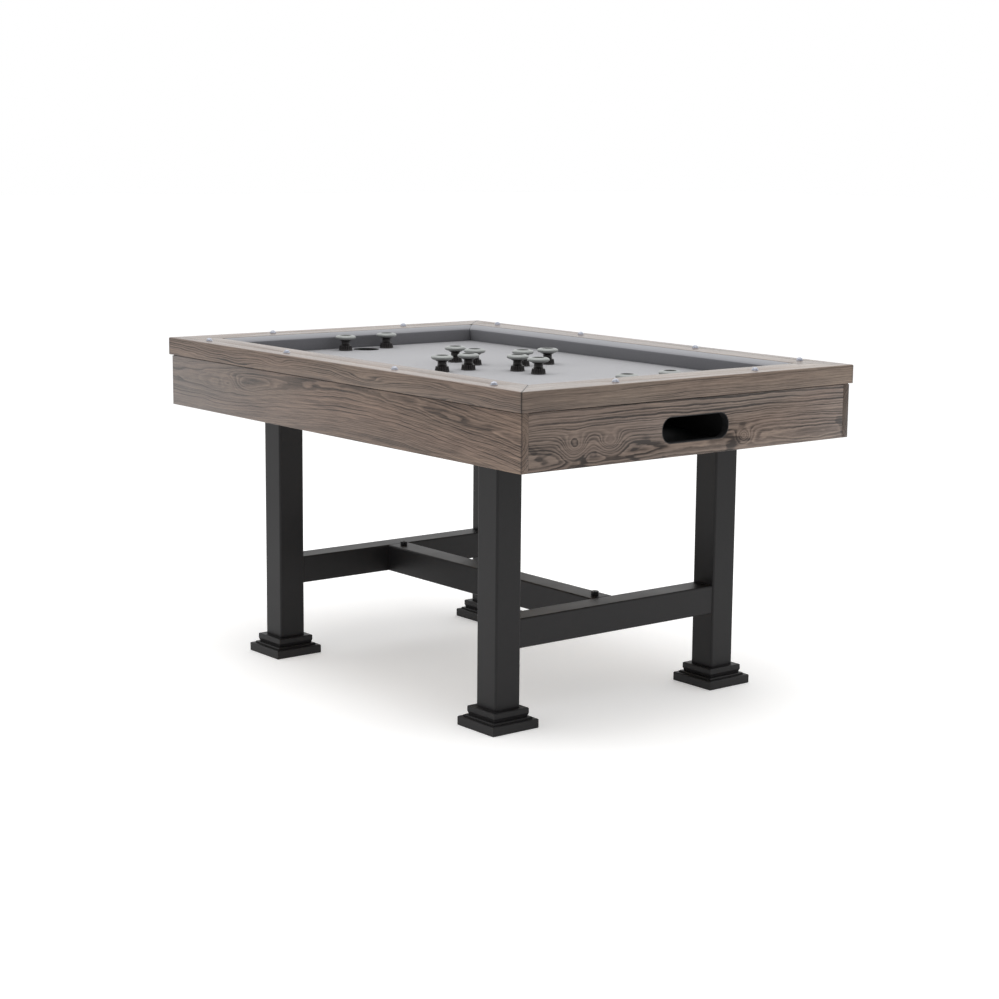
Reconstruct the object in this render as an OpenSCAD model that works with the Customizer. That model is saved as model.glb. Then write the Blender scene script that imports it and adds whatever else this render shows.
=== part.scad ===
// Bumper pool table: slate bed in a timber cabinet, twelve posts with rubber rings,
// two end pockets with ball trays, four square steel legs tied by an H of stretchers.
// Frame: X runs along the table (a pocket at each end), Y across it, Z up.
// The origin is on the floor, under the middle of the table.

/* [Overall] */
// Length over the rails
table_l = 1422; // [1380:2:1500]
// Width over the rails
table_w = 991; // [960:1:1040]
// Height from the floor to the top of the rails
table_h = 788; // [760:1:820]

/* [Rails and cushions] */
// Height of a rail above the cloth
rail_h = 43; // [40:1:46]
// Width of the timber part of a rail, seen from above
rail_w = 96; // [90:1:100]
// Distance from the table's outer edge to the nose of the cushion
nose_in = 124; // [122:1:128]
// Height of the cushion's nose above the cloth, at its upper corner
nose_h = 34; // [32:0.5:36]
// How far the foot of the cushion sits back under the nose
undercut = 14; // [10:1:15]
// Thickness of the bed cloth and of the cushion cloth
cloth_t = 1; // [0.8:0.1:1.5]
// Radius on the outer upper edge of the rails
rail_r = 3; // [1:0.5:6]
// Diameter of a domed sight on the rails
sight_d = 17; // [12:1:18]
// Height of a domed sight above the rail
sight_h = 7; // [4:0.5:7]

/* [Cabinet] */
// Height of the cabinet boards
apron_h = 127; // [120:1:140]
// Thickness of the cabinet boards
apron_t = 19; // [16:1:22]
// How far the cabinet is set in under the rails
apron_in = 6; // [3:1:10]
// Width of the ball-return slot in each end board
slot_w = 200; // [170:1:204]
// Height of the slot
slot_h = 59; // [57:1:64]
// Height of the middle of the slot above the underside of the cabinet
slot_up = 59; // [56:1:62]

/* [Slate bed] */
// Thickness of the slate
slate_t = 19; // [16:1:22]
// Diameter of each pocket hole in the slate
pocket_d = 68; // [64:1:72]
// Distance from the middle of the table to the middle of each pocket
pocket_x = 550; // [544:1:552]

/* [Bumpers] */
// Height of a bumper above the cloth
bumper_h = 40; // [37:1:43]
// Outer diameter of a bumper's rubber ring
ring_d = 53; // [50:1:58]
// Height of the rubber ring
ring_h = 11; // [9:0.5:12]
// Distance from the middle of the table to the inner bumpers of the cross
cross_a = 84; // [76:1:92]
// Distance from the middle of the table to the outer bumpers of the cross
cross_b = 163; // [156:1:170]
// Half the distance between the two bumpers that guard a pocket
guard_y = 65; // [62:1:72]

/* [Legs] */
// Side of the square steel tube of a leg
tube = 70; // [64:1:72]
// Wall of the steel tubes
wall = 3; // [2:0.5:4]
// Distance from the middle of the table to the legs, along the length
leg_x = 436; // [434:1:440]
// Distance from the middle of the table to the legs, across the width
leg_y = 330; // [300:1:350]
// Height of the top of the stretchers above the floor
stretcher_top = 247; // [200:1:300]
// Width of the stretchers
stretcher_w = 64; // [60:1:68]
// Side of the square base of a foot
foot_w = 129; // [120:1:140]
// Height of the base of a foot
foot_h = 21; // [19:1:24]
// Side of the upper block of a foot
plinth_w = 98; // [92:1:104]
// Height of the top of the upper block above the floor
plinth_top = 46; // [42:1:52]

/* [Hidden] */

$fn = 48;
cut = 1;           // how far a cutter runs past a face
clear = 0.2;       // radial room around a bolt or a liner

// Levels
bed_z = table_h - rail_h;
slate_z = bed_z - cloth_t;
under_z = slate_z - slate_t;
apron_z = bed_z - apron_h;

// Cabinet and what carries the slate
cab_x = table_l / 2 - apron_in;
cab_y = table_w / 2 - apron_in;
in_x = cab_x - apron_t;
in_y = cab_y - apron_t;
slate_gap = 2;
plate_t = 6;
beam_z = apron_z + plate_t;
mid_beam_x = 215;
mid_beam_w = 60;
leg_beam_w = 78;
beams = [[-leg_x, leg_beam_w], [-mid_beam_x, mid_beam_w], [mid_beam_x, mid_beam_w], [leg_x, leg_beam_w]];
ledger_w = 32;
ledger_h = 38;
block_w = 55;
block_toe = 18;

// Rail and cushion section: x = distance in from the outer edge, y = height above the cloth
reach = nose_in + 20;
seat_drop = 11;
seat_fall = 3;
foot_in = nose_in - undercut;
sub_foot = foot_in - 5;
seat_in = sub_foot - 1;
nose_flat = 3;
top_edge = [rail_w, rail_h];
nose_a = [nose_in - 0.6, nose_h];
nose_b = [nose_in, nose_h - nose_flat];
foot_edge = [foot_in, 0];

// Rail bolts and sights, as places along a rail and distances in from its outer edge
long_bolts = [-590, -330, -120, 120, 330, 590];
short_bolts = [-260, 260];
long_bolt_in = 70;
short_bolt_in = 76;
bolt_d = 8;
hex_af = 13;
long_sights = [-574, -219, 219, 574];
short_sights = [-209, 209];
sight_in = 37;
sight_pin_d = 5;
sight_pin_l = 10;

// Ball return
tray_half = 106;
tray_t = 4;
tray_x = leg_x + leg_beam_w / 2 + 2;
tray_back_z = apron_z + 39;
tray_front_z = apron_z + 21;
slot_z = apron_z + slot_up;
slot_r = slot_h / 2 - 2.5;
liner_t = 1.5;

// Bumpers
post_d = 36;
shoulder_d = 31;
shoulder_h = 13.5;
neck_d = 21.5;
seat_d = 33;
hub_d = 26.6;
bore_ring_d = 27;
hub_drop = 3;
head_d = 14;
head_h = 5;
head_sink = 8;
ring_round = 5;
ring_edge = 1.2;
ring_z = bumper_h - ring_h;
cross_spots = [for (r = [cross_a, cross_b], s = [-1, 1]) each [[s * r, 0], [0, s * r]]];
left_spots = [for (s = [-1, 1]) [-pocket_x, s * guard_y]];
right_spots = [for (s = [-1, 1]) [pocket_x, s * guard_y]];
all_spots = concat(cross_spots, left_spots, right_spots);

// Legs, feet and stretchers
tube_r = 5;
seat_z = 14;
leg_spots = [for (x = [-1, 1], y = [-1, 1]) [x * leg_x, y * leg_y]];
plate_x = 76;
plate_y = 150;
screw_x = 26;
screw_y = 58;
screw_depth = 45;
pad_d = 44;
pad_t = 6.5;
recess_d = 52;
recess_t = 7.5;
stem_d = 12;
stem_top = 75;
stretcher_h = 68;
stretcher_r = 4;
stretcher_z = stretcher_top - stretcher_h / 2;
end_l = 2 * leg_y - tube;
mid_l = 2 * leg_x - stretcher_w;
tongue_l = 50;
tongue_t = 4;
tongue_gap = 0.4;
joint_x = mid_l / 2 - 24;
joint_d = 10;
cap_d = 18;
cap_h = 10;

wood = [0.52, 0.47, 0.43];
inner_wood = [0.72, 0.62, 0.48];
cushion_grey = [0.64, 0.66, 0.68];
cloth_grey = [0.79, 0.78, 0.79];
steel_black = [0.16, 0.16, 0.17];
zinc = [0.66, 0.67, 0.68];

// ---- Helpers ----

function arc(c, r, a0, a1, n) = [for (i = [0:n]) let (a = a0 + (a1 - a0) * i / n) c + r * [cos(a), sin(a)]];

// A line from a to b, moved by t to its right
function beside(a, b, t) = a + t * [(b - a).y, (a - b).x] / norm(b - a);

// Where the line through p along d meets the line through q along e
function meet(p, d, q, e) = p + d * (cross(q - p, e) / cross(d, e));

module on_side(side) {
    angles = [["front", 0], ["right", 90], ["back", 180], ["left", -90]];
    rotate([0, 0, [for (a = angles) if (a[0] == side) a[1]][0]]) children();
}

function along(side) = side == "front" || side == "back" ? table_l : table_w;
function across(side) = side == "front" || side == "back" ? table_w : table_l;

// A mitred bar of one section, on the given side of the table
module mitred_bar(side, section) {
    l = along(side);
    w = across(side);
    on_side(side) intersection() {
        translate([-l / 2, -w / 2, bed_z]) rotate([90, 0, 90]) linear_extrude(l) polygon(section);
        translate([0, -w / 2, bed_z - cut]) linear_extrude(rail_h + 2 * cut)
            polygon([[-l / 2, 0], [l / 2, 0], [l / 2 - reach, reach], [reach - l / 2, reach]]);
    }
}

module rounded(w, h, r) {
    square([w - 2 * r, h], center = true);
    square([w, h - 2 * r], center = true);
    for (x = [-1, 1], y = [-1, 1]) translate([x * (w / 2 - r), y * (h / 2 - r)]) circle(r);
}

module rod(d, z0, z1) {
    translate([0, 0, z0]) cylinder(d = d, h = z1 - z0);
}

module hexagon(af, z0, z1) {
    translate([0, 0, z0]) cylinder(d = af / cos(30), h = z1 - z0, $fn = 6);
}

module at(spots) {
    for (p = spots) translate([p.x, p.y, 0]) children();
}

// ---- Rails, cushions and sights ----

rail_section = concat(
    [[0, 0]],
    arc([rail_r, rail_h - rail_r], rail_r, 180, 90, 5),
    [top_edge, [rail_w, rail_h - seat_drop], [seat_in, rail_h - seat_drop - seat_fall], [sub_foot, 0]]
);
inner_top = meet(beside(top_edge, nose_a, cloth_t), nose_a - top_edge, top_edge, [0, 1]);
inner_a = meet(beside(top_edge, nose_a, cloth_t), nose_a - top_edge,
               beside(nose_a, nose_b, cloth_t), nose_b - nose_a);
inner_b = meet(beside(nose_a, nose_b, cloth_t), nose_b - nose_a,
               beside(nose_b, foot_edge, cloth_t), foot_edge - nose_b);
inner_foot = meet(beside(nose_b, foot_edge, cloth_t), foot_edge - nose_b, [0, 0], [1, 0]);
cloth_section = [top_edge, nose_a, nose_b, foot_edge, inner_foot, inner_b, inner_a, inner_top];
rubber_section = [
    inner_top, inner_a, inner_b, inner_foot, [sub_foot, 0],
    [seat_in, rail_h - seat_drop - seat_fall], [rail_w, rail_h - seat_drop]
];

module sight_places(side) {
    places = side == "front" || side == "back" ? long_sights : short_sights;
    on_side(side) for (x = places) translate([x, sight_in - across(side) / 2, 0]) children();
}

module rail_bolt_places(side) {
    places = side == "front" || side == "back" ? long_bolts : short_bolts;
    inset = side == "front" || side == "back" ? long_bolt_in : short_bolt_in;
    on_side(side) for (x = places) translate([x, inset - across(side) / 2, 0]) children();
}

module rail(side) {
    color(wood) difference() {
        mitred_bar(side, rail_section);
        sight_places(side) rod(sight_pin_d + 2 * clear, table_h - sight_pin_l - cut, table_h + cut);
        rail_bolt_places(side) rod(bolt_d + 2 * clear, bed_z - cut, bed_z + 30);
    }
}

module cushion(side) {
    color("dimgray") mitred_bar(side, rubber_section);
}

module cushion_cloth(side) {
    color(cushion_grey) mitred_bar(side, cloth_section);
}

module rail_front() { rail("front"); }
module rail_back() { rail("back"); }
module rail_left() { rail("left"); }
module rail_right() { rail("right"); }
module cushion_front() { cushion("front"); }
module cushion_back() { cushion("back"); }
module cushion_left() { cushion("left"); }
module cushion_right() { cushion("right"); }
module cushion_cloth_front() { cushion_cloth("front"); }
module cushion_cloth_back() { cushion_cloth("back"); }
module cushion_cloth_left() { cushion_cloth("left"); }
module cushion_cloth_right() { cushion_cloth("right"); }

// A domed stud with a pin that goes into the rail
module sight() {
    ball_r = (sight_d * sight_d / 4 + sight_h * sight_h) / (2 * sight_h);
    start = asin((ball_r - sight_h) / ball_r);
    dome = arc([0, sight_h - ball_r], ball_r, start, 90, 12);
    translate([0, 0, table_h]) rotate_extrude() polygon(concat([[0, 0]], dome));
    rod(sight_pin_d, table_h - sight_pin_l, table_h + cut);
}

module sights() {
    color([0.75, 0.79, 0.88]) for (side = ["front", "back", "left", "right"]) sight_places(side) sight();
}

// A flange bolt up through the slate into the rail
module rail_bolts() {
    color(zinc) for (side = ["front", "back", "left", "right"]) rail_bolt_places(side) {
        rod(bolt_d, under_z - 2, bed_z + 28);
        rod(24, under_z - 2, under_z);
        hexagon(hex_af, under_z - 7.5, under_z - 2);
    }
}

// ---- Cabinet ----

module long_apron(s) {
    color(wood) translate([-cab_x, s > 0 ? in_y : -cab_y, apron_z]) cube([2 * cab_x, apron_t, apron_h]);
}

module slot_prism(w, h, r, x0, x1) {
    translate([x0, 0, slot_z]) rotate([90, 0, 90]) linear_extrude(x1 - x0) rounded(w, h, r);
}

module end_apron(s) {
    color(wood) rotate([0, 0, s > 0 ? 0 : 180]) difference() {
        translate([in_x, -in_y, apron_z]) cube([apron_t, 2 * in_y, apron_h]);
        slot_prism(slot_w, slot_h, slot_r, in_x - cut, cab_x + cut);
    }
}

module apron_front() { long_apron(-1); }
module apron_back() { long_apron(1); }
module apron_left() { end_apron(-1); }
module apron_right() { end_apron(1); }

module slot_liner(s) {
    color([0.05, 0.05, 0.05]) rotate([0, 0, s > 0 ? 0 : 180]) difference() {
        slot_prism(slot_w, slot_h, slot_r, in_x, cab_x);
        slot_prism(slot_w - 2 * liner_t, slot_h - 2 * liner_t, slot_r - liner_t, in_x - cut, cab_x + cut);
    }
}

module slot_liner_left() { slot_liner(-1); }
module slot_liner_right() { slot_liner(1); }

// Sloping tray that takes a ball from the pocket to the slot, open at the top and at the slot
module ball_tray(s) {
    floor_pts = [[tray_x, tray_back_z - tray_t], [in_x, tray_front_z - tray_t],
                 [in_x, tray_front_z], [tray_x, tray_back_z]];
    side_pts = [[tray_x, tray_back_z - tray_t], [in_x, tray_front_z - tray_t], [in_x, under_z], [tray_x, under_z]];
    color([0.08, 0.08, 0.08]) rotate([0, 0, s > 0 ? 0 : 180]) union() {
        translate([0, tray_half, 0]) rotate([90, 0, 0]) linear_extrude(2 * tray_half) polygon(floor_pts);
        for (y = [-tray_half + tray_t, tray_half])
            translate([0, y, 0]) rotate([90, 0, 0]) linear_extrude(tray_t) polygon(side_pts);
        translate([tray_x, -tray_half, tray_back_z - tray_t])
            cube([tray_t, 2 * tray_half, under_z - tray_back_z + tray_t]);
    }
}

module ball_tray_left() { ball_tray(-1); }
module ball_tray_right() { ball_tray(1); }

module cross_beams() {
    color(inner_wood) difference() {
        for (b = beams) translate([b[0] - b[1] / 2, -in_y, beam_z]) cube([b[1], 2 * in_y, under_z - beam_z]);
        leg_screw_places() rod(bolt_d + 2 * clear, beam_z - cut, beam_z + screw_depth + cut);
    }
}

// Strips that carry the edge of the slate between the beams and the corner blocks
module slate_ledgers() {
    lo = [for (b = beams) b[0] - b[1] / 2];
    hi = [for (b = beams) b[0] + b[1] / 2];
    starts = concat([block_w - in_x], hi);
    ends = concat(lo, [in_x - block_w]);
    color(inner_wood) {
        for (i = [0:len(starts) - 1], y = [-in_y, in_y - ledger_w])
            translate([starts[i], y, under_z - ledger_h]) cube([ends[i] - starts[i], ledger_w, ledger_h]);
        for (x = [-in_x, in_x - ledger_w], y = [block_w - in_y, tray_half + 2])
            translate([x, y, under_z - ledger_h])
                cube([ledger_w, in_y - block_w - tray_half - 2, ledger_h]);
    }
}

module corner_blocks() {
    color(inner_wood) for (x = [-1, 1], y = [-1, 1]) translate([0, 0, apron_z + 4])
        linear_extrude(under_z - apron_z - 4) polygon([
            [x * in_x, y * in_y], [x * (in_x - block_w), y * in_y],
            [x * (in_x - block_w), y * (in_y - block_toe)], [x * (in_x - block_toe), y * (in_y - block_w)],
            [x * in_x, y * (in_y - block_w)]
        ]);
}

// ---- Slate, cloth and pockets ----

module bed_layer(z0, z1) {
    difference() {
        translate([slate_gap - in_x, slate_gap - in_y, z0])
            cube([2 * (in_x - slate_gap), 2 * (in_y - slate_gap), z1 - z0]);
        at([[-pocket_x, 0], [pocket_x, 0]]) rod(pocket_d, z0 - cut, z1 + cut);
        at(all_spots) rod(bolt_d + 1, z0 - cut, z1 + cut);
        for (side = ["front", "back", "left", "right"])
            rail_bolt_places(side) rod(bolt_d + 2, z0 - cut, z1 + cut);
    }
}

module slate_bed() { color([0.28, 0.3, 0.32]) bed_layer(under_z, slate_z); }
module bed_cloth() { color(cloth_grey) bed_layer(slate_z, bed_z); }

module pocket_liner(s) {
    color([0.1, 0.1, 0.1]) translate([s * pocket_x, 0, 0]) difference() {
        rod(pocket_d - 2 * clear, under_z, bed_z);
        rod(pocket_d - 4, under_z - cut, bed_z + cut);
    }
}

module pocket_liner_left() { pocket_liner(-1); }
module pocket_liner_right() { pocket_liner(1); }

// ---- Bumpers ----

module post() {
    hub_top = bumper_h - hub_drop;
    translate([0, 0, bed_z]) rotate_extrude() polygon([
        [bolt_d / 2 + clear, 0], [post_d / 2, 0], [post_d / 2 - 0.6, 2], [shoulder_d / 2, shoulder_h],
        [neck_d / 2, shoulder_h + 1.5], [neck_d / 2, ring_z - 3.5], [seat_d / 2, ring_z - 1.2],
        [seat_d / 2, ring_z], [hub_d / 2, ring_z], [hub_d / 2, hub_top],
        [head_d / 2 + 1, hub_top], [head_d / 2 + 1, hub_top - head_sink],
        [bolt_d / 2 + clear, hub_top - head_sink]
    ]);
}

module ring() {
    r_in = bore_ring_d / 2;
    r_out = ring_d / 2;
    section = concat(
        arc([r_out - ring_round, ring_round], ring_round, -90, 0, 6),
        arc([r_out - ring_round, ring_h - ring_round], ring_round, 0, 90, 6),
        arc([r_in + ring_edge, ring_h - ring_edge], ring_edge, 90, 180, 3),
        [[r_in, 0]]
    );
    translate([0, 0, bed_z + ring_z]) rotate_extrude() polygon(section);
}

module bumper_posts_cross() { color([0.14, 0.12, 0.12]) at(cross_spots) post(); }
module bumper_posts_left() { color([0.14, 0.12, 0.12]) at(left_spots) post(); }
module bumper_posts_right() { color([0.14, 0.12, 0.12]) at(right_spots) post(); }
module bumper_rings_cross() { color([0.6, 0.62, 0.6]) at(cross_spots) ring(); }
module bumper_rings_left() { color([0.6, 0.62, 0.6]) at(left_spots) ring(); }
module bumper_rings_right() { color([0.6, 0.62, 0.6]) at(right_spots) ring(); }

module bumper_bolts() {
    head_z = bed_z + bumper_h - hub_drop - head_sink;
    color(zinc) at(all_spots) {
        rod(bolt_d, under_z - 11, head_z + 1);
        rod(head_d, head_z, head_z + head_h);
    }
}

module bumper_nuts() {
    color(zinc) at(all_spots) difference() {
        union() {
            rod(20, under_z - 1.5, under_z);
            hexagon(hex_af, under_z - 8, under_z - 1.5);
        }
        rod(bolt_d + 2 * clear, under_z - 9, under_z + cut);
    }
}

// ---- Legs and feet ----

module leg(sx, sy) {
    color(steel_black) translate([sx * leg_x, sy * leg_y, seat_z]) linear_extrude(apron_z - seat_z) difference() {
        rounded(tube, tube, tube_r);
        rounded(tube - 2 * wall, tube - 2 * wall, tube_r - wall);
    }
}

module leg_front_left() { leg(-1, -1); }
module leg_front_right() { leg(1, -1); }
module leg_back_left() { leg(-1, 1); }
module leg_back_right() { leg(1, 1); }

module leg_screw_places() {
    at(leg_spots) for (x = [-1, 1], y = [-1, 1]) translate([x * screw_x, y * screw_y, 0]) children();
}

module leg_plates() {
    color(steel_black) difference() {
        at(leg_spots) translate([0, 0, apron_z]) linear_extrude(plate_t) rounded(plate_x, plate_y, 6);
        leg_screw_places() rod(bolt_d + 1, apron_z - cut, beam_z + cut);
    }
}

module leg_screws() {
    color(zinc) leg_screw_places() {
        rod(bolt_d, apron_z - 1, beam_z + screw_depth);
        hexagon(hex_af, apron_z - 5.5, apron_z);
    }
}

// A square moulding: the same half-section on all four sides, mitred at the corners
module square_moulding(half) {
    whole = concat(half, [for (i = [len(half) - 1:-1:0]) [-half[i].x, half[i].y]]);
    span = foot_w + 2 * cut;
    intersection() {
        translate([0, span / 2, 0]) rotate([90, 0, 0]) linear_extrude(span) polygon(whole);
        translate([-span / 2, 0, 0]) rotate([90, 0, 90]) linear_extrude(span) polygon(whole);
    }
}

module foot(sx, sy) {
    base = foot_w / 2;
    plinth = plinth_w / 2;
    color(steel_black) translate([sx * leg_x, sy * leg_y, 0]) difference() {
        square_moulding([
            [base - 0.8, 0], [base, 0.8], [base, foot_h - 1.5], [base - 1.5, foot_h],
            [plinth + 6, foot_h], [plinth + 6, foot_h + 3], [plinth + 4.5, foot_h + 4.5],
            [plinth - 2.5, foot_h + 4.5], [plinth - 1.8, foot_h + 8], [plinth, foot_h + 13],
            [plinth, plinth_top - 1.5], [plinth - 1.5, plinth_top]
        ]);
        translate([0, 0, seat_z]) linear_extrude(plinth_top)
            rounded(tube + 2 * clear, tube + 2 * clear, tube_r + clear);
        rod(recess_d, -cut, recess_t);
        rod(stem_d + 2, recess_t - cut, seat_z + cut);
    }
}

module foot_front_left() { foot(-1, -1); }
module foot_front_right() { foot(1, -1); }
module foot_back_left() { foot(-1, 1); }
module foot_back_right() { foot(1, 1); }

// Screw-down leveling foot, hidden in the base at rest
module leveler(sx, sy) {
    color([0.3, 0.3, 0.3]) translate([sx * leg_x, sy * leg_y, 0]) rotate_extrude() polygon([
        [0, 0], [pad_d / 2 - 1, 0], [pad_d / 2, 1], [pad_d / 2, 4], [pad_d / 2 - 4, pad_t],
        [stem_d / 2, pad_t], [stem_d / 2, stem_top - 1], [stem_d / 2 - 1, stem_top], [0, stem_top]
    ]);
}

module leveler_front_left() { leveler(-1, -1); }
module leveler_front_right() { leveler(1, -1); }
module leveler_back_left() { leveler(-1, 1); }
module leveler_back_right() { leveler(1, 1); }

module leveler_nuts() {
    color(zinc) at(leg_spots) difference() {
        union() {
            rod(30, seat_z, seat_z + 2);
            hexagon(19, seat_z + 2, seat_z + 12);
        }
        rod(stem_d + 2 * clear, seat_z - cut, seat_z + 13);
    }
}

// ---- Stretchers ----

module box_tube(l, w, h, t, r) {
    rotate([90, 0, 90]) translate([0, 0, -l / 2]) linear_extrude(l) difference() {
        rounded(w, h, r);
        rounded(w - 2 * t, h - 2 * t, max(r - t, 0.5));
    }
}

module end_stretcher(s) {
    color(steel_black) translate([s * leg_x, 0, stretcher_z]) rotate([0, 0, 90])
        box_tube(end_l, stretcher_w, stretcher_h, wall, stretcher_r);
}

module end_stretcher_left() { end_stretcher(-1); }
module end_stretcher_right() { end_stretcher(1); }

module center_stretcher() {
    color(steel_black) difference() {
        translate([0, 0, stretcher_z]) box_tube(mid_l, stretcher_w, stretcher_h, wall, stretcher_r);
        at([[-joint_x, 0], [joint_x, 0]]) rod(joint_d + 1, stretcher_z, stretcher_top + cut);
    }
}

// Stubs on the end stretchers that slide into the centre stretcher
module stretcher_tongues() {
    w = stretcher_w - 2 * wall - 2 * tongue_gap;
    h = stretcher_h - 2 * wall - 2 * tongue_gap;
    color(steel_black) difference() {
        for (s = [-1, 1]) translate([s * (mid_l - tongue_l) / 2, 0, stretcher_z])
            box_tube(tongue_l, w, h, tongue_t, 2);
        at([[-joint_x, 0], [joint_x, 0]]) rod(joint_d + 1, stretcher_z, stretcher_top);
    }
}

module stretcher_bolts() {
    color([0.06, 0.06, 0.06]) at([[-joint_x, 0], [joint_x, 0]]) difference() {
        union() {
            rod(joint_d, stretcher_top - 22, stretcher_top + 1);
            rod(cap_d, stretcher_top, stretcher_top + cap_h);
        }
        hexagon(8, stretcher_top + cap_h - 5, stretcher_top + cap_h + cut);
    }
}

module stretcher_nuts() {
    top = stretcher_top - wall - tongue_gap - tongue_t;
    color(zinc) at([[-joint_x, 0], [joint_x, 0]]) difference() {
        hexagon(17, top - 8, top);
        rod(joint_d + 2 * clear, top - 9, top + cut);
    }
}

rail_front();
rail_back();
rail_left();
rail_right();
cushion_front();
cushion_back();
cushion_left();
cushion_right();
cushion_cloth_front();
cushion_cloth_back();
cushion_cloth_left();
cushion_cloth_right();
sights();
apron_front();
apron_back();
apron_left();
apron_right();
slate_bed();
bed_cloth();
cross_beams();
slate_ledgers();
corner_blocks();
rail_bolts();
ball_tray_left();
ball_tray_right();
slot_liner_left();
slot_liner_right();
pocket_liner_left();
pocket_liner_right();
bumper_posts_cross();
bumper_posts_left();
bumper_posts_right();
bumper_rings_cross();
bumper_rings_left();
bumper_rings_right();
bumper_bolts();
bumper_nuts();
leg_front_left();
leg_front_right();
leg_back_left();
leg_back_right();
leg_plates();
leg_screws();
foot_front_left();
foot_front_right();
foot_back_left();
foot_back_right();
leveler_front_left();
leveler_front_right();
leveler_back_left();
leveler_back_right();
leveler_nuts();
end_stretcher_left();
end_stretcher_right();
center_stretcher();
stretcher_tongues();
stretcher_bolts();
stretcher_nuts();
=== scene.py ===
"""Looks of the bumper pool table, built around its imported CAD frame.

Metres, +Z up, X along the table, Y across it, origin on the floor under the middle of the bed.
Sides are named as seen from the front: front is -Y, right is +X.
"""
import math

import bmesh
import bpy
from mathutils import Matrix, Vector, noise


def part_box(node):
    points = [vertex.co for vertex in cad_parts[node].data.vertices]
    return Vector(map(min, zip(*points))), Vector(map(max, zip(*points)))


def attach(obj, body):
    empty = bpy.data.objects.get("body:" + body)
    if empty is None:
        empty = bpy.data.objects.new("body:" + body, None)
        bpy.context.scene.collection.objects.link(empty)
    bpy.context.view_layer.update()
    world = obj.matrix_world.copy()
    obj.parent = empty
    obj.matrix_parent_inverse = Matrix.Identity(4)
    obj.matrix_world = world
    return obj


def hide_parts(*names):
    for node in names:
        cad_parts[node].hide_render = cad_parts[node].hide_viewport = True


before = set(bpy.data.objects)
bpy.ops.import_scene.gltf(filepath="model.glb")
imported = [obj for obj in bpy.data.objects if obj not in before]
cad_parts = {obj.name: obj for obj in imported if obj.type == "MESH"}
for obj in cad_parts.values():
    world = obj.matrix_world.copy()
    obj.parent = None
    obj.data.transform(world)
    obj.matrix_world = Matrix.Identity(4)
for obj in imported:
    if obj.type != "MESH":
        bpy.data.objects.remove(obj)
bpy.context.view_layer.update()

WELD = 1e-6
SHARP = 35
SIDES = ("front", "right", "back", "left")
CORNERS = ("front_left", "front_right", "back_left", "back_right")
ENDS = ("left", "right")
MM = 0.001

# ---- Places and sizes read from the frame ----

RAIL_LO, RAIL_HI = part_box("rail_front")
TOP = RAIL_HI.z
HALF_L = RAIL_HI.x
HALF_W = -RAIL_LO.y
BED_LO, BED_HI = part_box("bed_cloth")
BED = BED_HI.z
CLOTH_LO, CLOTH_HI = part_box("cushion_cloth_front")
NOSE_IN = HALF_W + CLOTH_HI.y
WOOD_IN = HALF_W + CLOTH_LO.y
BOARD_LO, BOARD_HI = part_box("apron_front")
BOARD_Y = -BOARD_LO.y
BOARD_X = BOARD_HI.x
END_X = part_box("apron_right")[1].x


def solids(node):
    """The loose solids of a CAD node, as a list of (lowest corner, highest corner)."""
    bm = bmesh.new()
    bm.from_mesh(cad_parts[node].data)
    bmesh.ops.remove_doubles(bm, verts=bm.verts, dist=WELD)
    bm.verts.ensure_lookup_table()
    seen = set()
    found = []
    for start in bm.verts:
        if start.index in seen:
            continue
        seen.add(start.index)
        todo = [start]
        group = []
        while todo:
            v = todo.pop()
            group.append(v.co.copy())
            for e in v.link_edges:
                other = e.other_vert(v)
                if other.index not in seen:
                    seen.add(other.index)
                    todo.append(other)
        lo = Vector([min(p[i] for p in group) for i in range(3)])
        hi = Vector([max(p[i] for p in group) for i in range(3)])
        found.append((lo, hi))
    bm.free()
    return found


def centres(node):
    """Where the solids of a CAD node stand, seen from above."""
    return [((lo + hi) / 2).xy for lo, hi in solids(node)]


def half_sizes(side):
    """Half the length along a side, and how far out that side stands."""
    return (HALF_L, HALF_W) if side in ("front", "back") else (HALF_W, HALF_L)


# ---- Material graphs ----


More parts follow.
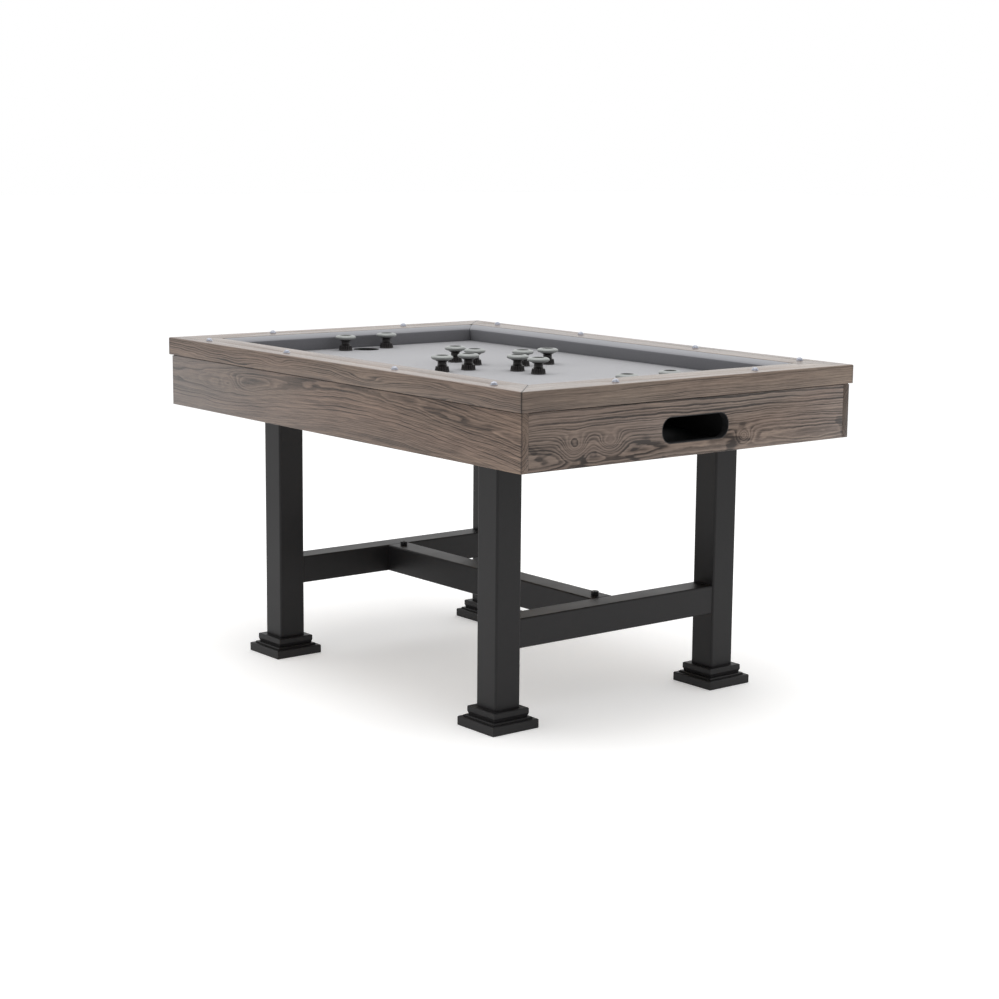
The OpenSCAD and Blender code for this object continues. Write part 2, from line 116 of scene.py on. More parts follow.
class Graph:
    """A material's node tree, with short calls for the nodes used here."""

    def __init__(self, name):
        self.mat = bpy.data.materials.new(name)
        self.mat.use_nodes = True
        self.tree = self.mat.node_tree
        self.tree.nodes.clear()
        self.shader = self.add("ShaderNodeBsdfPrincipled")
        out = self.add("ShaderNodeOutputMaterial")
        self.link(self.shader.outputs[0], out.inputs["Surface"])
        self.coords = self.add("ShaderNodeTexCoord").outputs["Object"]

    def add(self, kind, **settings):
        node = self.tree.nodes.new(kind)
        for key, value in settings.items():
            setattr(node, key, value)
        return node

    def link(self, a, b):
        self.tree.links.new(a, b)

    def feed(self, socket, value):
        """Links an output to a socket, or sets the socket to a plain value."""
        if isinstance(value, bpy.types.NodeSocket):
            self.link(value, socket)
        else:
            socket.default_value = value

    def set(self, **values):
        """Sets the shader's own sockets: base_color=(...), roughness=0.5 and so on."""
        for key, value in values.items():
            name = key.replace("_", " ").title().replace("Ior", "IOR")
            if isinstance(value, tuple) and len(value) == 3:
                value = (*value, 1)
            self.feed(self.shader.inputs[name], value)

    def place(self, scale=(1, 1, 1), shift=(0, 0, 0), turn=(0, 0, 0), source=None):
        node = self.add("ShaderNodeMapping")
        self.link(source or self.coords, node.inputs["Vector"])
        node.inputs["Location"].default_value = shift
        node.inputs["Rotation"].default_value = turn
        node.inputs["Scale"].default_value = scale
        return node.outputs[0]

    def noise(self, source, detail=2, rough=0.5, warp=0, color=False):
        """Cloudy noise with features about one unit wide, so that place() sets their real size."""
        node = self.add("ShaderNodeTexNoise")
        self.link(source, node.inputs["Vector"])
        node.inputs["Scale"].default_value = 1
        node.inputs["Detail"].default_value = detail
        node.inputs["Roughness"].default_value = rough
        node.inputs["Distortion"].default_value = warp
        return node.outputs["Color" if color else "Fac"]

    def math(self, operation, a, b=0.0, c=0.0):
        node = self.add("ShaderNodeMath", operation=operation)
        for socket, value in zip(node.inputs, (a, b, c)):
            self.feed(socket, value)
        return node.outputs[0]

    def split(self, source):
        node = self.add("ShaderNodeSeparateXYZ")
        self.link(source, node.inputs[0])
        return node.outputs

    def ramp(self, fac, *stops, kind="LINEAR"):
        """A colour or grey for each place along fac: stops are (place, value)."""
        node = self.add("ShaderNodeValToRGB")
        node.color_ramp.interpolation = kind
        items = node.color_ramp.elements
        while len(items) < len(stops):
            items.new(0.5)
        for item, (at, value) in zip(items, stops):
            item.position = at
            item.color = (*value, 1) if isinstance(value, tuple) else (value, value, value, 1)
        self.link(fac, node.inputs[0])
        return node.outputs[0]

    def mix(self, fac, a, b, blend="MIX"):
        node = self.add("ShaderNodeMix", data_type="RGBA", blend_type=blend)
        self.feed(node.inputs[0], fac)
        for socket, value in ((node.inputs[6], a), (node.inputs[7], b)):
            self.feed(socket, (*value, 1) if isinstance(value, tuple) else value)
        return node.outputs[2]

    def bump(self, height, distance, strength):
        node = self.add("ShaderNodeBump")
        node.inputs["Strength"].default_value = strength
        node.inputs["Distance"].default_value = distance
        self.link(height, node.inputs["Height"])
        return node.outputs[0]


def rgb(r, g, b):
    """A colour in linear light, from its 0 to 255 display values."""
    return tuple(((c / 255 + 0.055) / 1.055) ** 2.4 for c in (r, g, b))


TO_FRONT = {"front": 0, "right": -90, "back": 180, "left": 90}
LOG_REACH = 0.4
LIGHT_OAK = rgb(137, 119, 106)
MID_OAK = rgb(105, 90, 81)
DARK_OAK = rgb(42, 33, 28)
# Painted shade: the dark colour laid along the rail mitre joints and the boards' outer corners, where
# shade falls in the gaps.
CORNER_SHADE = rgb(26, 20, 17)


def oak(name, side, face, floor, pith, height, ring, seed, knots=(), bold=0.7, fibre=1.1, blotch=0.0,
        tint=(1, 1, 1), tone_and_painted_light=(1, 1), mitred=False):
    """Weathered grey-brown oak, sawn from round logs.

    face is how far out the outer face stands, and floor the height of the lower edge. pith gives how far
    the log's middle lies behind the face and height how far above floor, as (place from 0 to 1, metres).
    ring is the width of a year's growth, and seed picks the figure. knots are (place, height, strength,
    length, width), where the grain runs round something. bold is the strength of the dark lines, fibre
    that of the fine streaks and blotch that of the dark stains. tone_and_painted_light is how light the
    board is at its two ends, partly the wood's own tone and partly painted light.
    mitred paints shade along the joints at the corners, in place of darkening the sawn ends.
    """
    g = Graph(name)
    half = half_sizes(side)[0]
    p = g.place(turn=(0, 0, math.radians(TO_FRONT[side])))
    x, y, z = g.split(p)
    place = g.math("MULTIPLY_ADD", x, 0.5 / half, 0.5)
    depths = [(a, v / LOG_REACH) for a, v in pith]
    heights = [(a, v / LOG_REACH + 0.5) for a, v in height]
    behind = g.math("MULTIPLY", g.ramp(place, *depths, kind="B_SPLINE"), LOG_REACH)
    middle = g.math("MULTIPLY", g.ramp(place, *heights, kind="B_SPLINE"), LOG_REACH)
    slow = g.noise(g.place(scale=(5, 14, 14), shift=(seed, seed * 2.3, 0), source=p), detail=2, color=True)
    drift_in, drift_up, _ = g.split(slow)
    deep = g.math("ADD", g.math("ADD", y, face), g.math("MULTIPLY_ADD", drift_in, 12 * MM, behind))
    up = g.math("SUBTRACT", g.math("SUBTRACT", z, floor - LOG_REACH / 2), middle)
    up = g.math("ADD", up, g.math("MULTIPLY_ADD", drift_up, 16 * MM, -8 * MM))
    radius = g.math("SQRT", g.math("ADD", g.math("MULTIPLY", deep, deep), g.math("MULTIPLY", up, up)))
    for at, high, strength, length, width in knots:
        along = g.math("DIVIDE", g.math("SUBTRACT", x, (at - 0.5) * 2 * half), length)
        across = g.math("DIVIDE", g.math("SUBTRACT", z, floor + high), width)
        far = g.math("ADD", g.math("MULTIPLY", along, along), g.math("MULTIPLY", across, across))
        swell = g.math("EXPONENT", g.math("MULTIPLY", far, -1.0))
        radius = g.math("MULTIPLY_ADD", swell, strength, radius)
    ripple = g.noise(g.place(scale=(16, 70, 70), shift=(0, seed, seed), source=p), detail=3)
    radius = g.math("MULTIPLY_ADD", ripple, ring * 1.1, radius)
    tight = g.add("ShaderNodeTexNoise", noise_dimensions="1D")
    tight.inputs["Scale"].default_value = 0.28 / ring
    tight.inputs["Detail"].default_value = 1
    g.link(g.math("ADD", radius, seed), tight.inputs["W"])
    turns = g.math("MULTIPLY_ADD", tight.outputs[0], 2.2, g.math("DIVIDE", radius, ring))
    year = g.math("FRACT", turns)
    luck = g.add("ShaderNodeTexWhiteNoise", noise_dimensions="1D")
    g.link(g.math("FLOOR", turns), luck.inputs["W"])
    line = g.ramp(year, (0.0, 0.4), (0.1, 1.0), (0.4, 0.85), (0.66, 0.3), (0.9, 0.0), (1.0, 0.4))
    line = g.math("MULTIPLY", line, g.math("MULTIPLY_ADD", luck.outputs["Value"], 0.75, 0.25))
    strong = g.noise(g.place(scale=(4, 16, 16), shift=(seed, 0, seed), source=p), detail=2)
    line = g.math("MULTIPLY", line, g.ramp(strong, (0.3, 0.5), (0.65, 1.0)))
    streak = g.noise(g.place(scale=(11, 360, 360), shift=(0, seed, 0), source=p), detail=3, rough=0.75)
    pores = g.noise(g.place(scale=(40, 900, 900), shift=(seed, 0, 0), source=p), detail=2, rough=0.6)
    pores = g.ramp(pores, (0.36, 1.0), (0.48, 0.0))
    cloudy = g.noise(g.place(scale=(3, 10, 10), shift=(0, 0, seed), source=p), detail=3)
    level = g.math("MULTIPLY_ADD", streak, fibre, g.math("MULTIPLY", line, -bold))
    level = g.math("ADD", level, g.math("MULTIPLY_ADD", cloudy, 0.5, 0.45 - fibre / 2))
    if blotch:
        stains = g.noise(g.place(scale=(11, 26, 26), shift=(seed, seed, 0), source=p), detail=2, warp=0.4)
        stains = g.ramp(stains, (0.57, 0.0), (0.63, 1.0))
        up_board = g.math("DIVIDE", g.math("SUBTRACT", z, floor), BOARD_HI.z - BOARD_LO.z)
        low = g.ramp(up_board, (0.3, 1.0), (0.55, 0.0))
        level = g.math("SUBTRACT", level, g.math("MULTIPLY", g.math("MULTIPLY", stains, low), blotch))
    color = g.ramp(level, (0.0, DARK_OAK), (0.52, MID_OAK), (1.0, LIGHT_OAK))
    open_pores = g.math("MULTIPLY", pores, g.math("MULTIPLY_ADD", line, 0.5, 0.15))
    color = g.mix(open_pores, color, DARK_OAK)
    hue = g.noise(g.place(scale=(2.5, 14, 14), shift=(seed, 5, 0), source=p), detail=1)
    color = g.mix(g.ramp(hue, (0.4, 0.0), (0.62, 1.0)), color, (0.97, 1.0, 1.0), "MULTIPLY")
    color = g.mix(1.0, color, tint, "MULTIPLY")
    # Painted light with the wood's own tone: each board is made lighter towards the end where more light
    # falls on it.
    color = g.mix(1.0, color, g.ramp(place, (0, tone_and_painted_light[0] / 2), (1, tone_and_painted_light[1] / 2)), "MULTIPLY")
    color = g.mix(1.0, color, (2, 2, 2), "MULTIPLY")  # a ramp holds at most 1, so it carries half the fade
    if mitred:
        # Painted shade: a dark band along each mitre joint, standing for the shade in the gap between the
        # rails.
        ends = g.math("ADD", g.math("ABSOLUTE", x), g.math("MULTIPLY", g.math("ABSOLUTE", y), -1.0))
        off = half_sizes(side)[0] - half_sizes(side)[1]
        gap = g.math("ABSOLUTE", g.math("SUBTRACT", ends, off))
        color = g.mix(g.ramp(gap, (1.8 * MM, 0.85), (4.2 * MM, 0.0)), color, CORNER_SHADE)
    else:
        color = end_grain(g, color, x, g.math("ADD", y, face))
    depth = g.math("ADD", g.math("MULTIPLY", line, 0.5), g.math("MULTIPLY", pores, 0.5))
    g.set(
        base_color=color,
        coat_weight=0.5,
        coat_roughness=0.2,
        coat_ior=1.28,
        roughness=g.math("MULTIPLY_ADD", line, 0.15, 0.3),
        normal=g.bump(g.math("SUBTRACT", 1.0, depth), 0.25 * MM, 0.5),
        specular_ior_level=0.22,
    )
    return g.mat


def end_grain(g, color, x, inward):
    """Darkens a board's sawn ends, which take more stain, and paints shade along the corner where they
    meet its face.
    """
    lip = g.math("SUBTRACT", BOARD_X, g.math("ABSOLUTE", x))
    on_end = g.ramp(g.math("MULTIPLY", lip, 100.0), (0.05, 1.0), (0.1, 0.0))
    color = g.mix(g.math("MULTIPLY", on_end, 0.35), color, DARK_OAK)
    # Painted shade: a dark line down the board's outer corner, where its end meets its face.
    near = g.ramp(g.math("MAXIMUM", lip, inward), (0.5 * MM, 0.6), (1.8 * MM, 0.0))
    return g.mix(near, color, CORNER_SHADE)


def pine(name):
    """Plain planed pine for the hidden timber."""
    g = Graph(name)
    p = g.place(scale=(60, 3, 60))
    bands = g.noise(p, detail=3, warp=0.4)
    fibres = g.noise(g.place(scale=(900, 30, 900)), detail=2)
    early, late, knotty = rgb(196, 164, 120), rgb(216, 189, 146), rgb(182, 143, 96)
    color = g.ramp(bands, (0.3, early), (0.5, late), (0.68, knotty))
    color = g.mix(g.math("MULTIPLY", fibres, 0.25), color, rgb(150, 115, 75))
    g.set(base_color=color, roughness=0.62, normal=g.bump(fibres, 0.1 * MM, 0.5))
    return g.mat


def cloth(name, color, sheen):
    """Napped wool table cloth: a close weave under a soft, slightly uneven nap."""
    g = Graph(name)
    nap = g.noise(g.place(scale=(900, 900, 900)), detail=3, rough=0.7)
    weave_a = g.noise(g.place(scale=(2600, 420, 900)), detail=1)
    weave_b = g.noise(g.place(scale=(420, 2600, 900)), detail=1)
    weave = g.math("MULTIPLY", g.math("ADD", weave_a, weave_b), 0.5)
    patches = g.noise(g.place(scale=(5, 5, 5)), detail=2)
    level = g.math("ADD", g.math("MULTIPLY", nap, 0.5), g.math("MULTIPLY_ADD", patches, 0.25, weave))
    dark = tuple(c * 0.84 for c in color)
    pale = tuple(min(1, c * 1.14) for c in color)
    tone = g.ramp(level, (0.55, dark), (0.87, color), (1.0, pale))
    g.set(
        base_color=tone,
        roughness=0.85,
        sheen_weight=sheen,
        sheen_roughness=0.45,
        specular_ior_level=0.35,
        normal=g.bump(g.math("ADD", nap, weave), 0.18 * MM, 0.6),
    )
    g.shader.inputs["Sheen Tint"].default_value = (0.95, 0.97, 1.0, 1)
    return g.mat


def coated_steel(name, color, roughness, grain=700):
    """Powder coat: a fine orange-peel skin with slightly uneven gloss."""
    g = Graph(name)
    peel = g.noise(g.place(scale=(grain,) * 3), detail=2, rough=0.4)
    uneven = g.noise(g.place(scale=(9, 9, 9)), detail=3)
    speck = g.noise(g.place(scale=(2400,) * 3), detail=1)
    level = g.math("MULTIPLY_ADD", speck, 0.6, g.math("MULTIPLY", uneven, 0.4))
    low = tuple(c * 0.7 for c in color)
    high = tuple(c * 1.35 for c in color)
    tone = g.ramp(level, (0.35, low), (0.65, high))
    g.set(
        base_color=tone,
        roughness=g.math("MULTIPLY_ADD", uneven, 0.16, roughness - 0.08),
        specular_ior_level=0.25,
        normal=g.bump(peel, 0.12 * MM, 0.5),
    )
    return g.mat


def plastic(name, color, roughness, mottle=0.25, grain=500, relief=0.05):
    """Moulded plastic or rubber with a fine surface texture."""
    g = Graph(name)
    skin = g.noise(g.place(scale=(grain,) * 3), detail=2)
    cloudy = g.noise(g.place(scale=(40, 40, 40)), detail=2)
    low = tuple(c * (1 - mottle) for c in color)
    high = tuple(min(1, c * (1 + mottle)) for c in color)
    level = g.math("MULTIPLY_ADD", skin, 0.5, g.math("MULTIPLY", cloudy, 0.5))
    g.set(
        base_color=g.ramp(level, (0.3, low), (0.7, high)),
        roughness=g.math("MULTIPLY_ADD", cloudy, 0.12, roughness - 0.06),
        normal=g.bump(skin, relief * MM, 0.5),
    )
    return g.mat


def metal(name, color, roughness):
    """Zinc-plated steel with fine, directionless wear."""
    g = Graph(name)
    wear = g.noise(g.place(scale=(260,) * 3), detail=4, rough=0.7)
    low = tuple(c * 0.72 for c in color)
    g.set(
        base_color=g.ramp(wear, (0.35, low), (0.6, color)),
        metallic=1.0,
        roughness=g.math("MULTIPLY_ADD", wear, 0.25, roughness - 0.1),
        normal=g.bump(wear, 0.05 * MM, 0.4),
    )
    return g.mat


def pearl(name):
    """Polished pearl: cloudy bluish white."""
    g = Graph(name)
    swirl = g.noise(g.place(scale=(170, 170, 170)), detail=3, warp=1.5)
    deep, middle, pale = rgb(142, 147, 160), rgb(166, 170, 182), rgb(190, 193, 201)
    tone = g.ramp(swirl, (0.35, deep), (0.5, middle), (0.65, pale))
    g.set(
        base_color=tone,
        roughness=g.math("MULTIPLY_ADD", swirl, 0.1, 0.14),
        specular_ior_level=0.35,
        normal=g.bump(swirl, 0.05 * MM, 0.3),
    )
    return g.mat


def stone(name):
    """Honed slate: fine mottling and faint cloudy bands."""
    g = Graph(name)
    bands = g.noise(g.place(scale=(4, 9, 60)), detail=5, warp=0.6)
    grit = g.noise(g.place(scale=(700,) * 3), detail=3)
    level = g.math("MULTIPLY_ADD", grit, 0.4, g.math("MULTIPLY", bands, 0.6))
    tone = g.ramp(level, (0.3, rgb(58, 62, 66)), (0.6, rgb(88, 92, 96)), (0.8, rgb(104, 107, 109)))
    g.set(base_color=tone, roughness=0.62, normal=g.bump(grit, 0.1 * MM, 0.5))
    return g.mat


# ---- Mesh work ----

EASING = 0.7 * MM


def shade(bm, angle=SHARP):
    """Smooth faces, with sharp edges where they meet at more than an angle in degrees."""
    limit = math.radians(angle)
    for face in bm.faces:
        face.smooth = True
    for edge in bm.edges:
        edge.smooth = len(edge.link_faces) != 2 or edge.calc_face_angle() < limit


def new_piece(name, bm, material, node, smooth_angle=SHARP):
    """Turns a bmesh into a piece of the table, which stands for a CAD node."""
    bmesh.ops.recalc_face_normals(bm, faces=bm.faces)
    shade(bm, smooth_angle)
    mesh = bpy.data.meshes.new(name)
    bm.to_mesh(mesh)
    bm.free()
    mesh.materials.append(material)
    piece = bpy.data.objects.new(name, mesh)
    bpy.context.scene.collection.objects.link(piece)
    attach(piece, "table")
    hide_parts(node)
    return piece


def carve(piece, boxes):
    """Cuts boxes out of a piece. Each is (centre, size, turn about Z in degrees)."""
    bm = bmesh.new()
    for centre, size, turn in boxes:
        place = Matrix.Translation(centre) @ Matrix.Rotation(math.radians(turn), 4, "Z")
        bmesh.ops.create_cube(bm, size=1, matrix=place @ Matrix.Diagonal((*size, 1)))
    mesh = bpy.data.meshes.new("cutter")
    bm.to_mesh(mesh)
    bm.free()
    cutter = bpy.data.objects.new("cutter", mesh)
    bpy.context.scene.collection.objects.link(cutter)
    cut = piece.modifiers.new("carve", "BOOLEAN")
    cut.operation = "DIFFERENCE"
    cut.solver = "EXACT"
    cut.use_self = True
    cut.object = cutter
    carved = bpy.data.meshes.new_from_object(piece.evaluated_get(bpy.context.evaluated_depsgraph_get()))
    piece.modifiers.clear()
    bm = bmesh.new()
    bm.from_mesh(carved)
    bmesh.ops.remove_doubles(bm, verts=bm.verts, dist=WELD)
    shade(bm)
    bm.to_mesh(piece.data)
    bm.free()
    bpy.data.meshes.remove(carved)
    bpy.data.objects.remove(cutter)
    bpy.data.meshes.remove(mesh)


def eased(name, node, material):
    """A copy of a CAD node's solid with its sharp edges eased, which stands for the node."""
    bm = bmesh.new()
    bm.from_mesh(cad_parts[node].data)
    bmesh.ops.remove_doubles(bm, verts=bm.verts, dist=WELD)
    flat, bent = math.radians(1), math.radians(25)
    bmesh.ops.dissolve_limit(bm, angle_limit=flat, verts=bm.verts, edges=bm.edges)
    sharp = [e for e in bm.edges if len(e.link_faces) == 2 and e.calc_face_angle() > bent]
    bmesh.ops.bevel(bm, geom=sharp, offset=EASING, segments=2, profile=0.5, affect="EDGES",
                    clamp_overlap=True, harden_normals=False)
    return new_piece(name, bm, material, node)


def lathe(bm, profile, segments, centre, swell=None):
    """Turns (radius, height) points about an upright axis. swell(height, angle) scales the radius."""
    rows = []
    for r, z in profile:
        row = []
        for i in range(segments):
            a = 2 * math.pi * i / segments
            k = swell(z, a) if swell else 1.0
            row.append(bm.verts.new((centre[0] + r * k * math.cos(a), centre[1] + r * k * math.sin(a), z)))
        rows.append(row)
    for low, high in zip(rows, rows[1:]):
        for i in range(segments):
            j = (i + 1) % segments
            bm.faces.new((low[i], low[j], high[j], high[i]))
    return rows


def close_ring(bm, rows):
    """Joins a turned profile's last row to its first, round the bore."""
    last, first = rows[-1], rows[0]
    for i in range(len(first)):
        j = (i + 1) % len(first)
        bm.faces.new((last[i], last[j], first[j], first[i]))


def arc(cx, cy, rx, ry, start, end, steps):
    """Points on an ellipse arc, angles in degrees."""
    turn = [math.radians(start + (end - start) * i / steps) for i in range(steps + 1)]
    return [(cx + rx * math.cos(a), cy + ry * math.sin(a)) for a in turn]


def on_side(side):
    """The turn that takes the front (-Y) side to another side."""
    return Matrix.Rotation(math.radians({"front": 0, "right": 90, "back": 180, "left": -90}[side]), 4, "Z")


# ---- Cushions ----

CLOTH_T = 0.8 * MM
NOSE_UP = 34 * MM


def cushion_section():
    """The outside of a cover as (in from the outer edge, height), from the rail round to the bed."""
    top = CLOTH_HI.z
    foot_in = NOSE_IN - 14 * MM
    crown = 1.1 * MM
    start = (WOOD_IN + 0.4 * MM, top - 3.0 * MM)
    tuck = [start] + arc(WOOD_IN + 2.4 * MM, top - 2.6 * MM, 2.0 * MM, 2.2 * MM, 180, 95, 5)
    nose = Vector((NOSE_IN, BED + NOSE_UP))
    shoulder = Vector(tuck[-1])
    back = []
    for i in range(1, 9):
        t = i / 9
        p = shoulder.lerp(nose, t)
        back.append((p.x, p.y + crown * math.sin(math.pi * t)))
    nose_r = 2.2 * MM
    rounded = arc(nose.x - nose_r, nose.y - nose_r, nose_r, nose_r, 62, -12, 6)
    foot = Vector((foot_in, BED + 0.2 * MM))
    last = Vector(rounded[-1])
    face = [tuple(last.lerp(foot, t / 6)) for t in range(1, 7)]
    return tuck + back + rounded + face


def thicken(bm):
    """Turns a sheet's faces up and gives it the cloth's thickness, downwards."""
    bmesh.ops.recalc_face_normals(bm, faces=bm.faces)
    if sum(f.normal.z * f.calc_area() for f in bm.faces) < 0:
        bmesh.ops.reverse_faces(bm, faces=bm.faces)
    bmesh.ops.solidify(bm, geom=bm.faces[:], thickness=CLOTH_T)


def cushion_cover(side, material):
    """Cloth drawn over one cushion, folded at the mitres, with the slight unevenness of hand work."""
    half, out = half_sizes(side)
    bm = bmesh.new()
    stations = 160
    fold = 5 * MM
    gap = 0.6 * MM
    loose_above = 30 * MM
    rows = []
    for k in range(stations + 1):
        t = 2 * k / stations - 1
        spread = 0.35 * t + 0.65 * math.sin(t * math.pi / 2)  # stations crowd towards the mitres
        row = []
        for inset, z in cushion_section():
            reach = half - inset - gap
            x = spread * reach
            from_end = reach - abs(x)
            tuck = math.exp(-from_end / fold)
            uneven = noise.noise(Vector((x * 14, out * 9 + inset * 30, z * 20)))
            lift = (0.16 * uneven - 1.8 * tuck) * MM
            loose = min(1.0, max(0.0, (z - BED) / loose_above))
            row.append(bm.verts.new((x, inset - out, z + lift * loose)))
        rows.append(row)
    for a, b in zip(rows, rows[1:]):
        for i in range(len(a) - 1):
            bm.faces.new((a[i], a[i + 1], b[i + 1], b[i]))
    bmesh.ops.transform(bm, matrix=on_side(side), verts=bm.verts)
    thicken(bm)
    name = "cloth_cover_" + side
    return new_piece(name, bm, material, "cushion_cloth_" + side, smooth_angle=60)


# ---- Bed cloth ----

POCKETS = [Vector(c) for c in centres("pocket_liner_left") + centres("pocket_liner_right")]
POCKET_R = (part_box("pocket_liner_left")[1].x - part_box("pocket_liner_left")[0].x) / 2


def with_stops(corners, stops):
    """A polygon's corners, with the stops that lie on its edges put in between them."""
    tiny = 1e-7
    loop = []
    for a, b in zip(corners, corners[1:] + corners[:1]):
        run = b - a
        in_line = [s for s in stops if abs(run.cross(s - a)) < tiny]
        between = [s for s in in_line if tiny < run.dot(s - a) < run.dot(run) - tiny]
        loop += [a] + sorted(between, key=lambda s: (s - a).length)
    return loop


def bed_sheet(material):
    """The bed cloth: flat over the slate, turned down over the rim of each pocket."""
    bm = bmesh.new()
    panel = 60 * MM
    steps = 48
    roll = 1.2 * MM
    hole = POCKET_R + 0.3 * MM
    angles = [2 * math.pi * (k + 0.5) / steps for k in range(steps)]
    ways = [Vector((math.cos(a), math.sin(a))) for a in angles]
    square = [way * panel / max(abs(way.x), abs(way.y)) for way in ways]
    stops = [p + s for p in POCKETS for s in square]
    xs = [BED_LO.x] + sorted(p.x + s * panel for p in POCKETS for s in (-1, 1)) + [BED_HI.x]
    ys = [BED_LO.y, -panel, panel, BED_HI.y]
    for i in range(len(xs) - 1):
        for j in range(len(ys) - 1):
            mid = Vector(((xs[i] + xs[i + 1]) / 2, (ys[j] + ys[j + 1]) / 2))
            if any((mid - p).length < panel / 2 for p in POCKETS):
                continue
            box = [(xs[i], ys[j]), (xs[i + 1], ys[j]), (xs[i + 1], ys[j + 1]), (xs[i], ys[j + 1])]
            loop = with_stops([Vector(c) for c in box], stops)
            bm.faces.new([bm.verts.new((*c, BED)) for c in loop])
    for p in POCKETS:
        rims = [[bm.verts.new((*(p + s), BED)) for s in square]]
        for bend in (0, 0.4, 0.8, 1.2, math.pi / 2):
            r = hole + roll - roll * math.sin(bend)
            z = BED - roll + roll * math.cos(bend)
            rims.append([bm.verts.new((p.x + r * math.cos(a), p.y + r * math.sin(a), z)) for a in angles])
        for a, b in zip(rims, rims[1:]):
            for k in range(steps):
                bm.faces.new((a[k], a[(k + 1) % steps], b[(k + 1) % steps], b[k]))
        corners = [bm.verts.new((p.x + sx * panel, p.y + sy * panel, BED))
                   for sx, sy in ((1, 1), (-1, 1), (-1, -1), (1, -1))]
        for n, corner in enumerate(corners):
            k = steps // 8 + n * steps // 4
            bm.faces.new((rims[0][(k - 1) % steps], corner, rims[0][k % steps]))
    bmesh.ops.remove_doubles(bm, verts=bm.verts, dist=WELD)
    thicken(bm)
    return new_piece("bed_sheet", bm, material, "bed_cloth", smooth_angle=50)


# ---- Bumpers ----

RIBS = 18
RING_LO, RING_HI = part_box("bumper_rings_left")
RING_UP = (RING_LO.z - BED) / MM
RING_TOP = (RING_HI.z - BED) / MM


def ribbed_post(bm, centre):
    """Moulded post: a fluted drum for a foot, a beaded waist, a flange under the ring, a cup in it."""
    flange = RING_UP
    lip = RING_TOP - 1.0
    bore = 4.2
    drum_low, drum_high = 1.4, 13.3
    drum = [(bore, 0), (17.4, 0), (17.8, 0.5), (17.8, 1.3), (17.5, 2.0), (17.1, 4.5), (16.6, 7.5),
            (16.1, 10.5), (15.6, 12.6), (15.0, 13.4), (13.2, 13.9)]
    waist = [(11.6, 14.2), (11.2, 14.8), (11.7, 15.2), (12.0, 15.8), (11.7, 16.4), (11.2, 16.8),
             (10.8, 17.4), (10.7, flange - 5.2), (11.4, flange - 4.2)]
    under_ring = [(13.4, flange - 3.0), (15.6, flange - 2.2), (16.3, flange - 1.4), (16.3, flange),
                  (14.6, flange + 0.05)]
    cup = [(14.6, lip - 0.3), (14.4, lip), (14.1, lip), (13.9, lip - 0.3), (13.3, lip - 5.2),
           (12.6, lip - 5.8), (7.8, lip - 5.8), (7.5, lip - 6.2), (7.5, lip - 9.5), (bore, lip - 9.5)]
    profile = drum + waist + under_ring + cup

    def flutes(z, a):
        up = (z - BED) / MM
        on = max(0.0, min(1.0, (up - drum_low) / 1.2, (drum_high - up) / 0.9))
        return 1 - 0.13 * on * (0.5 + 0.5 * math.cos(RIBS * a)) ** 2

    close_ring(bm, lathe(bm, [(r * MM, BED + z * MM) for r, z in profile], RIBS * 8, centre, flutes))


def rubber_ring(bm, centre):
    """A fat rubber ring: a thin raised lip round the hole and a round, slightly flattened outside."""
    low = RING_UP
    high = RING_TOP
    tall = high - low - 0.5
    rim = (RING_HI.x - RING_LO.x) / 2 / MM
    core = 17.5
    underside = [(14.7, low + 0.6), (15.0, low + 0.1), (16.5, low + 0.05)]
    outside = arc(core, low + tall * 0.5, rim - core, tall * 0.5, -78, 72, 18)
    lip = [(17.9, high - 0.75), (17.3, high - 0.9), (16.9, high - 0.55), (16.4, high - 0.12),
           (15.6, high), (15.0, high - 0.2), (14.7, high - 0.7)]
    profile = underside + outside + lip
    close_ring(bm, lathe(bm, [(r * MM, BED + z * MM) for r, z in profile], 72, centre))


def stud(bm, centre):
    """A sight: a polished dome in a thin stepped rim, let into the rail's top."""
    rim = 8.5
    tall = (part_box("sights")[1].z - TOP) / MM
    profile = [(rim, -0.4), (rim, 0.5), (rim - 0.25, 0.8), (rim - 0.8, 0.85), (rim - 0.95, 0.7)]
    profile += arc(0, 0.6, rim - 1.05, tall - 0.6, 4, 86, 14)
    rows = lathe(bm, [(r * MM, TOP + z * MM) for r, z in profile], 48, centre)
    bm.faces.new(rows[-1])
    bm.faces.new(list(reversed(rows[0])))


def group(name, node, maker, material, slot):
    """One piece with the same shape at every solid of a CAD node."""
    bm = bmesh.new()
    for spot in centres(node):
        maker(bm, spot)
    return new_piece(name, bm, material, node)


# ---- The wood ----

